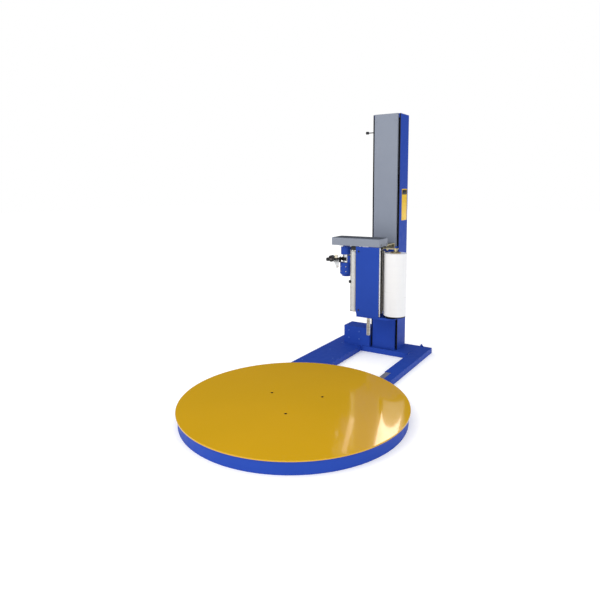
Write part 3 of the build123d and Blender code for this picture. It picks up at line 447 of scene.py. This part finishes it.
def join(*meshes):
    """Several meshes as one."""
    bm = bmesh.new()
    for mesh in meshes:
        bm.from_mesh(mesh)
    return smooth_by_angle(from_bmesh(bm), 40)


# ---- geometry nodes --------------------------------------------------------------------------
def grow(name, tree, points, ways, inputs):
    """Runs a node tree on a cloud of points that each carry a direction; returns a plain mesh."""
    cloud = bpy.data.meshes.new("cloud")
    cloud.from_pydata([tuple(p) for p in points], [], [])
    way = cloud.attributes.new("way", "FLOAT_VECTOR", "POINT")
    way.data.foreach_set("vector", [c for w in ways for c in w])
    holder = bpy.data.objects.new(name, cloud)
    bpy.context.scene.collection.objects.link(holder)
    modifier = holder.modifiers.new("grow", "NODES")
    modifier.node_group = tree
    for item in tree.interface.items_tree:
        if item.in_out == "INPUT" and item.name in inputs:
            modifier[item.identifier] = inputs[item.name]
    bpy.context.view_layer.update()
    evaluated = holder.evaluated_get(bpy.context.evaluated_depsgraph_get())
    mesh = bpy.data.meshes.new_from_object(evaluated)
    holder.modifiers.remove(modifier)
    bpy.data.objects.remove(holder)
    return mesh


def tree_with(name, numbers):
    """An empty geometry tree with named number inputs, a finish and one geometry in and out."""
    tree = bpy.data.node_groups.new(name, "GeometryNodeTree")
    tree.interface.new_socket("Places", in_out="INPUT", socket_type="NodeSocketGeometry")
    for label, value in numbers.items():
        socket = tree.interface.new_socket(label, in_out="INPUT", socket_type="NodeSocketFloat")
        socket.default_value = value
    tree.interface.new_socket("Finish", in_out="INPUT", socket_type="NodeSocketMaterial")
    tree.interface.new_socket("Result", in_out="OUTPUT", socket_type="NodeSocketGeometry")
    return tree, put(tree, "NodeGroupInput").outputs


def place_copies(tree, given, copy, seed):
    """Puts a copy on every point, along its direction and turned at random, and ends the tree."""
    way = put(tree, "GeometryNodeInputNamedAttribute", {"Name": "way"}, data_type="FLOAT_VECTOR")
    along = put(tree, "FunctionNodeAlignRotationToVector", links={"Vector": way.outputs["Attribute"]},
                axis="Z")
    spin = put(tree, "FunctionNodeRandomValue", {"Seed": seed}, data_type="FLOAT")
    spin.inputs[2].default_value = 0.0
    spin.inputs[3].default_value = 2 * math.pi
    about = put(tree, "ShaderNodeCombineXYZ", links={"Z": spin.outputs[1]})
    twist = put(tree, "FunctionNodeEulerToRotation", links={"Euler": about.outputs["Vector"]})
    turned = put(tree, "FunctionNodeRotateRotation", rotation_space="LOCAL",
                 links={"Rotation": along.outputs["Rotation"], "Rotate By": twist.outputs["Rotation"]})
    points = put(tree, "GeometryNodeMeshToPoints", links={"Mesh": given["Places"]})
    copies = put(tree, "GeometryNodeInstanceOnPoints", links={
        "Points": points.outputs["Points"], "Instance": copy, "Rotation": turned.outputs["Rotation"]})
    real = put(tree, "GeometryNodeRealizeInstances", links={"Geometry": copies.outputs["Instances"]})
    finished = put(tree, "GeometryNodeSetMaterial", links={
        "Geometry": real.outputs["Geometry"], "Material": given["Finish"]})
    put(tree, "NodeGroupOutput", links={"Result": finished.outputs["Geometry"]})
    return tree


def scaled(tree, source, factor):
    """A number times a constant."""
    return put(tree, "ShaderNodeMath", {1: factor}, {0: source}, operation="MULTIPLY").outputs[0]


def raised(tree, geometry, height):
    """A geometry moved up by a height."""
    up = put(tree, "ShaderNodeCombineXYZ", links={"Z": height})
    moved = put(tree, "GeometryNodeTransform", links={
        "Geometry": geometry, "Translation": up.outputs["Vector"]})
    return moved.outputs["Geometry"]


def joined(tree, *geometries):
    """Several geometries as one, in the order given."""
    whole = put(tree, "GeometryNodeJoinGeometry")
    for geometry in geometries:
        tree.links.new(geometry, whole.inputs["Geometry"])
    return whole.outputs["Geometry"]


def drum(tree, sides, radius, depth):
    """A cylinder centred on the origin."""
    made = put(tree, "GeometryNodeMeshCylinder", {"Vertices": sides},
               {"Radius": radius, "Depth": depth})
    return made.outputs["Mesh"]


def screw_tree():
    """A cap screw with a chamfered head and a hexagon socket, seated on a washer."""
    sides = 24
    tree, given = tree_with("cap_screws", {"Head Radius": 0.005, "Head Height": 0.004})
    head_r, head_h = given["Head Radius"], given["Head Height"]
    half_h = scaled(tree, head_h, 0.5)
    washer_h = scaled(tree, head_h, 0.22)
    crown = put(tree, "GeometryNodeMeshCone", {"Vertices": sides}, {
        "Radius Top": scaled(tree, head_r, 0.88), "Radius Bottom": head_r,
        "Depth": scaled(tree, head_h, 0.18)})
    head = joined(tree, raised(tree, crown.outputs["Mesh"], half_h), drum(tree, sides, head_r, head_h))
    socket = raised(tree, drum(tree, 6, scaled(tree, head_r, 0.52), head_h), scaled(tree, head_h, 0.75))
    cut = put(tree, "GeometryNodeMeshBoolean", links={"Mesh 1": head, "Mesh 2": socket},
              operation="DIFFERENCE", solver="EXACT")
    seat = put(tree, "ShaderNodeMath", links={0: half_h, 1: washer_h}, operation="ADD").outputs[0]
    washer = drum(tree, sides, scaled(tree, head_r, 1.35), washer_h)
    whole = joined(tree, raised(tree, cut.outputs["Mesh"], seat), washer)
    return place_copies(tree, given, whole, seed=3)


SCREWS = screw_tree()


def screws(name, body, slot, finish, places, way, head_r, head_h):
    """A set of cap screws on one body, all facing one way."""
    mesh = grow(name, SCREWS, places, [way] * len(places),
                {"Head Radius": head_r, "Head Height": head_h, "Finish": finish})
    return keep(name, mesh, body, slot)


# ---- film reel -------------------------------------------------------------------------------
def film_roll():
    """The wound roll: layers end a little proud or short of each other, and the side is faintly
    uneven."""
    low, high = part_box("film_roll")
    core_low, core_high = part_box("reel_core")
    centre = (low + high) / 2
    core_r = (core_high.x - core_low.x) / 2
    outer = (high.x - low.x) / 2
    draw = random.Random(11)
    end_rings, end_wobble = 26, 0.0005
    side_rings, side_wobble = 12, 0.0002
    edge = 0.0006                                         # width of the softened edge at each end
    profile = []
    for side in (1, -1):
        steps = range(end_rings + 1) if side > 0 else range(end_rings, -1, -1)
        for i in steps:
            radius = core_r + (outer - edge - core_r) * i / end_rings
            end = high.z if side > 0 else low.z
            profile.append((radius, end - side * draw.random() * end_wobble))
        if side > 0:
            for k in range(1, side_rings):
                profile.append((outer - draw.random() * side_wobble,
                                high.z + (low.z - high.z) * k / side_rings))
    roll = lathe(profile, Vector((centre.x, centre.y, 0)), Z, 128)
    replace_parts(keep("film_roll_wound", roll, "reel", "film"), "film_roll")


film_roll()


# ---- mast: label, cap screws, locks and panel fittings ---------------------------------------
def front_places(low, high, heights):
    """Screw places down both sides of a cover's front face."""
    inset = 0.016
    return [(x, low.y - SKIN, z) for x in (low.x + inset, high.x - inset) for z in heights]


def mast_details():
    """A plain label with a dark band, the covers' screws and the rear door's locks."""
    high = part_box("mast_wall_right")[1]
    label = bevelled_box((high.x - SKIN, 1.520, 1.178), (high.x + 0.0006, 1.638, 1.446), 0.0002)
    keep("side_label", label, "base", "yellow_paint", FINISH["label"])
    band = bevelled_box((high.x + 0.0004, 1.526, 1.398), (high.x + 0.0008, 1.632, 1.438), 0.0001)
    keep("side_label_band", band, "base", "black_plastic", FINISH["black_plastic"])
    head_r, head_h = 0.004, 0.002
    low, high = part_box("mast_upper_cover")
    places = front_places(low, high, (low.z + 0.06, (low.z + high.z) / 2, high.z - 0.06))
    screws("cover_screws", "base", "grey_paint", FINISH["grey_paint"], places, -Y, head_r, head_h)
    low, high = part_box("mast_lower_cover")
    places = front_places(low, high, (low.z + 0.10, high.z - 0.06))
    screws("lower_cover_screws", "base", "blue_paint", FINISH["blue_paint"], places, -Y, head_r, head_h)
    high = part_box("mast_rear_door")[1]
    lock_heights = (0.42, 1.02, 1.78)
    barrel = [(0, 0), (0.013, 0), (0.013, 0.003), (0.011, 0.005), (0.006, 0.005), (0.006, 0.003),
              (0, 0.003)]
    key_low, key_high = Vector((-0.0012, 0.002, -0.005)), Vector((0.0012, 0.0045, 0.005))
    locks = []
    for z in lock_heights:
        at = Vector((high.x - 0.030, high.y - 0.0005, z))
        locks.append(lathe(barrel, at, Y, 32))
        locks.append(bevelled_box(at + key_low, at + key_high, 0.0004))
    keep("door_locks", join(*locks), "base", "black_plastic")


def slot_shade_trims():
    """Black rubber edging on the front edge of each mast wall and a black lip along its inner face,
    beside the slots the arms run in: painted shade for the dark slots, where the walls' inner faces lie
    in shadow.
    """
    wall_t, rubber_t, proud, bevel = 0.005, 0.0014, 0.0004, 0.0005
    for side, name in ((1, "mast_wall_right"), (-1, "mast_wall_left")):
        low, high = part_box(name)
        outer = high.x if side > 0 else low.x
        inner = outer - side * wall_t
        ends = sorted((outer + side * proud, inner - side * rubber_t))
        shade_lip_x = sorted((inner + side * SKIN, inner - side * rubber_t))
        bottom, top = low.z + 0.001, high.z - 0.001
        # edge and lip are black where the slot's wall would lie in shadow: painted shade
        edge = bevelled_box((ends[0], low.y - 0.0016, bottom), (ends[1], low.y + SKIN, top), bevel)
        shade_lip = bevelled_box((shade_lip_x[0], low.y - 0.0010, bottom), (shade_lip_x[1], low.y + 0.0300, top), bevel)
        keep(name + "_trim", join(edge, shade_lip), "base", "belt_rubber", FINISH["belt_rubber"])


def table_details():
    """A dark ring of thread and oil round each lifting hole."""
    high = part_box("turntable_plate")[1]
    holes, circle_r, first_angle = 3, 0.2, 49.5
    ring = [(0.0068, -0.007), (0.0092, 0), (0.0092, 0.0006), (0.0058, 0.0006), (0.0052, -0.007)]
    rings = []
    for i in range(holes):
        angle = math.radians(first_angle + 120 * i)
        at = Vector((circle_r * math.cos(angle), circle_r * math.sin(angle), high.z - 0.0004))
        rings.append(lathe(ring, at, Z, 40))
    keep("lifting_hole_rings", join(*rings), "turntable", "black_steel", FINISH["black_steel"])


def panel_details():
    """Corner screws, a framed display window and a plate round each push button."""
    low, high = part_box("control_panel")
    face = high.y
    back = face - SKIN
    inset = 0.010
    places = [(x, back, z) for x in (low.x + inset, high.x - inset)
              for z in (low.z + inset, high.z - inset)]
    screws("panel_screws", "base", "bare_steel", FINISH["bare_steel"], places, Y, 0.0032, 0.0024)
    middle = (low.x + high.x) / 2
    surround = bevelled_box((middle - 0.058, back, high.z - 0.098),
                            (middle + 0.058, face + 0.004, high.z - 0.022), 0.0015)
    keep("display_frame", surround, "base", "black_plastic")
    window = bevelled_box((middle - 0.050, face + 0.0036, high.z - 0.090),
                          (middle + 0.050, face + 0.0048, high.z - 0.030), 0.0005)
    keep("display_window", window, "base", "black_plastic", FINISH["glass"])
    gap = 0.0008                                          # round the cap, which sinks when pressed
    chamfer, plate_t = 0.0008, 0.0016
    for name, finish, margin in (("estop_button", AMBER, 0.012),
                                 ("start_button", FINISH["bare_steel"], 0.004),
                                 ("stop_button", FINISH["bare_steel"], 0.004)):
        cap_low, cap_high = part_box(name)
        centre = (cap_low + cap_high) / 2
        cap_r = (cap_high.x - cap_low.x) / 2
        hole, outer = cap_r + gap, cap_r + margin
        plate = lathe([(hole, 0), (outer, 0), (outer, plate_t / 2), (outer - chamfer, plate_t),
                       (hole, plate_t)], Vector((centre.x, back, centre.z)), Y, 48)
        keep(name + "_plate", plate, "base", "panel_foil", finish)


# ---- carriage: painted-shade sheet, screws, guard rod, motor and photocell parts -------------
def carriage_details():
    """A dark grey rubber sheet on the hood's top as painted shade, screws on the hood, door screws, and
    the guard rod and block on the dancer.
    """
    low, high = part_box("transmission_hood")
    # a dark grey sheet laid over the hood's top face: painted shade on that face
    shade_sheet = bevelled_box((low.x + 0.010, low.y + 0.008, high.z - 0.0003),
                       (high.x - 0.010, high.y - 0.008, high.z + 0.0025), 0.001)
    keep("hood_top_shade_sheet", shade_sheet, "carriage", "rubber", HOOD_SHADE_RUBBER)
    inset = 0.035
    places = [(high.x - SKIN, y, low.z + 0.016) for y in (low.y + inset, high.y - inset)]
    screws("hood_screws_right", "carriage", "black_plastic", FINISH["black_plastic"],
           places, X, 0.0045, 0.003)
    low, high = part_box("unit_door")
    places = [(low.x + 0.026, low.y - SKIN, z) for z in (low.z + 0.042, high.z - 0.040)]
    screws("door_screws", "door", "black_plastic", FINISH["black_plastic"], places, -Y, 0.0058, 0.004)
    low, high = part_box("exit_roller")
    centre = (low + high) / 2
    rod_x, rod_y, rod_r = low.x - 0.007, centre.y, 0.0035
    rod = wire([(rod_x, rod_y, low.z - 0.008), (rod_x, rod_y, high.z + 0.008)], rod_r)
    tab_t = 0.003
    tabs = [bevelled_box((rod_x - 0.006, rod_y - 0.008, top - tab_t), (centre.x, rod_y + 0.008, top),
                         0.0008) for top in (low.z - 0.005, high.z + 0.010)]
    keep("guard_rod", join(rod, *tabs), "dancer", "bare_steel", TURNED_Z)
    knob_z = 0.688
    knob = lathe([(0, -0.011), (0.009, -0.011), (0.011, -0.008), (0.011, 0.008), (0.009, 0.011),
                  (0, 0.011)], Vector((rod_x - 0.004, rod_y - 0.006, knob_z)), Z, 32)
    keep("guard_knob", knob, "dancer", "black_plastic")
    block = bevelled_box((low.x - 0.001, centre.y - 0.012, high.z + 0.0095),
                         (high.x + 0.010, centre.y + 0.022, high.z + 0.0410), 0.003)
    keep("dancer_bearing_block", block, "dancer", "black_plastic")


def motor_details():
    """A fan cap under the prestretch motor and two rows of screws round its body."""
    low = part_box("prestretch_motor")[0]
    ring_low, ring_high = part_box("motor_ring")
    centre = (ring_low + ring_high) / 2
    cap = lathe([(0.030, low.z - 0.010), (0.036, low.z - 0.008), (0.038, low.z + 0.001),
                 (0, low.z + 0.001), (0, low.z - 0.010)], Vector((centre.x, centre.y, 0)), Z, 48)
    keep("motor_fan_cap", cap, "carriage", "blue_paint")
    body_r = 0.0538
    rows, angles = (0.766, 0.806), (-68, -122)
    ways = []
    places = []
    for z in rows:
        for angle in angles:
            way = Vector((math.cos(math.radians(angle)), math.sin(math.radians(angle)), 0))
            ways.append(way)
            places.append(Vector((centre.x, centre.y, z)) + way * body_r)
    mesh = grow("motor_screws", SCREWS, places, ways,
                {"Head Radius": 0.0035, "Head Height": 0.003, "Finish": FINISH["bare_steel"]})
    keep("motor_screws", mesh, "carriage", "bare_steel")


def upright_plate(outline, thickness, corner, bevel):
    """A plate that stands in the XZ plane, its outline drawn from a corner."""
    stand = Matrix.Translation(corner) @ Matrix.Rotation(math.radians(90), 4, "X")
    return prism(outline, thickness, stand, bevel)


def photocell_details():
    """The head's shell, lens, rim and plug, and the shield, clip and cheek of its bracket."""
    low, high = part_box("photocell_head")
    depth = high.y - low.y
    axis_x, axis_z = -0.332, 0.868
    front = Vector((axis_x, low.y, axis_z))
    shell = lathe([(0.0245, 0.002), (0.0262, 0.003), (0.0275, 0.006), (0.0275, depth - 0.006),
                   (0.0245, depth - 0.004)], front, Y, 56)
    keep("photocell_shell", shell, "photocell", "black_plastic", FINISH["motor_grey"])
    lens = lathe([(0, -0.0012), (0.010, -0.0008), (0.015, 0.0006), (0.015, 0.002), (0, 0.002)],
                 front, Y, 48)
    keep("photocell_lens", lens, "photocell", "black_plastic", FINISH["glass"])
    rim = lathe([(0.0155, -0.002), (0.020, -0.002), (0.021, 0.0), (0.021, 0.002), (0.0155, 0.002)],
                front, Y, 48)
    keep("photocell_rim", rim, "photocell", "black_plastic")
    plug = lathe([(0, 0), (0.013, 0), (0.015, 0.002), (0.015, 0.018), (0.012, 0.020), (0, 0.020)],
                 Vector((axis_x - 0.049, low.y + 0.018, axis_z - 0.010)), X, 40)
    keep("photocell_plug", plug, "photocell", "black_plastic")
    shield = upright_plate([(0, 0), (0.052, 0.010), (0.044, -0.058), (0.026, -0.066)], 0.003,
                           (-0.3030, 1.096, 0.858), 0.0008)
    keep("photocell_shield", shield, "carriage", "aluminium")
    clip = bevelled_box((-0.2985, 1.100, 0.876), (-0.2735, 1.112, 0.902), 0.002)
    keep("photocell_clip", clip, "carriage", "cardboard", BOARD)
    cheek = upright_plate([(0, 0), (0.046, 0.026), (0.046, -0.020), (0.012, -0.034)], 0.012,
                          (-0.298, 1.132, 0.864), 0.001)
    keep("photocell_bracket_cheek", cheek, "carriage", "black_steel")


mast_details()
slot_shade_trims()
table_details()
panel_details()
carriage_details()
motor_details()
photocell_details()


# ---- camera, light and floor -----------------------------------------------------------------
PLACE = Vector((1.7864, -2.7029, 1.4674))
YAW = math.radians(32.41)
PITCH = math.radians(7.39)
ROLL = math.radians(-0.41)
LENS = 31.198
SHIFT = (-0.0024, -0.0757)


def make_camera():
    """The camera, turned by yaw, then pitched down, then rolled about its own axis."""
    ahead = Vector((-math.sin(YAW) * math.cos(PITCH), math.cos(YAW) * math.cos(PITCH),
                    -math.sin(PITCH)))
    level = Vector((math.cos(YAW), math.sin(YAW), 0))
    up = level.cross(ahead)
    right = level * math.cos(ROLL) + up * math.sin(ROLL)
    over = up * math.cos(ROLL) - level * math.sin(ROLL)
    data = bpy.data.cameras.new("camera")
    data.lens = LENS
    data.sensor_width = 36.0
    data.shift_x, data.shift_y = SHIFT
    camera = bpy.data.objects.new("camera", data)
    bpy.context.scene.collection.objects.link(camera)
    turn = Matrix((right, over, -ahead)).transposed().to_4x4()
    camera.matrix_world = Matrix.Translation(PLACE) @ turn
    bpy.context.scene.camera = camera


def soft_box(name, place, target, width, height, watts, colour="#FFFFFF"):
    """An area lamp at a place, aimed at a target, that the camera does not see."""
    data = bpy.data.lights.new(name, "AREA")
    data.shape = "RECTANGLE"
    data.size = width
    data.size_y = height
    data.energy = watts
    data.color = linear(colour)[:3]
    lamp = bpy.data.objects.new(name, data)
    bpy.context.scene.collection.objects.link(lamp)
    lamp.location = place
    lamp.rotation_euler = (Vector(target) - Vector(place)).to_track_quat("-Z", "Y").to_euler()
    lamp.visible_camera = False
    return lamp


def studio():
    """A white surround that shows only dimly in reflections, and three soft boxes. A narrow lamp in
    front of the film roll and one in front of the exit roller reach only the table, whose lacquer
    mirrors each of them as a pale strip."""
    world = bpy.data.worlds.new("studio")
    bpy.context.scene.world = world
    world.use_nodes = True
    tree = world.node_tree
    tree.nodes.clear()
    path = put(tree, "ShaderNodeLightPath")
    wide = put(tree, "ShaderNodeBackground", {"Color": (1, 1, 1, 1), "Strength": 1.0})
    mirrored = put(tree, "ShaderNodeBackground", {"Color": (0.9, 0.95, 1, 1), "Strength": 0.06})
    seen = put(tree, "ShaderNodeBackground", {"Color": (1, 1, 1, 1), "Strength": 1.0})
    first = put(tree, "ShaderNodeMixShader", links={
        0: path.outputs["Is Glossy Ray"], 1: wide.outputs[0], 2: mirrored.outputs[0]})
    second = put(tree, "ShaderNodeMixShader", links={
        0: path.outputs["Is Camera Ray"], 1: first.outputs[0], 2: seen.outputs[0]})
    put(tree, "ShaderNodeOutputWorld", links={"Surface": second.outputs[0]})
    soft_box("key", (-2.2, -3.6, 4.2), (0, 0.6, 0.6), 2.6, 2.6, 60)
    soft_box("fill", (4.0, -1.6, 2.6), (0, 0.8, 0.8), 2.0, 2.4, 15)
    soft_box("low_front", (0.6, -3.4, 1.1), (0.0, 1.4, 0.3), 2.4, 1.0, 20)
    ahead, below, narrow = 0.02, 0.6, 0.95
    shiny = bpy.data.collections.new("table_only")
    shiny.objects.link(NODES["turntable_plate"])
    reel_low, reel_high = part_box("film_roll")
    roller_low, roller_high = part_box("exit_roller")
    for name, low, high, watts in (("reel_gleam", reel_low, reel_high, 2.0),
                                   ("roller_gleam", roller_low, roller_high, 0.16)):
        middle = (low + high) / 2
        tall = high.z - low.z
        front = low.y - ahead
        gleam = soft_box(name, (middle.x, front, middle.z), (middle.x, front - 1, middle.z - below),
                         (high.x - low.x) * narrow, tall, watts, "#FFE3D2")
        gleam.light_linking.receiver_collection = shiny
        gleam.visible_diffuse = False
    bpy.context.scene.view_settings.view_transform = "Standard"


def floor():
    """A large, plain pale floor just under the feet, lit a little from within so that it stays
    even."""
    material, tree, shader = surface("pale_floor", **{"Roughness": 0.95, "Specular IOR Level": 0.0})
    tone = spread(tree, pattern(tree, 900.0), 0, 1)
    tree.links.new(two_tone(tree, tone, "#FCFCFC", "#FAFAFA"), shader.inputs["Base Color"])
    shader.inputs["Emission Color"].default_value = (1, 1, 1, 1)
    shader.inputs["Emission Strength"].default_value = 0.16
    bm = bmesh.new()
    bmesh.ops.create_grid(bm, x_segments=1, y_segments=1, size=30.0)
    mesh = from_bmesh(bm)
    mesh.materials.append(material)
    slab = bpy.data.objects.new("floor", mesh)
    bpy.context.scene.collection.objects.link(slab)
    slab.location.z = -0.0005


make_camera()
studio()
floor()
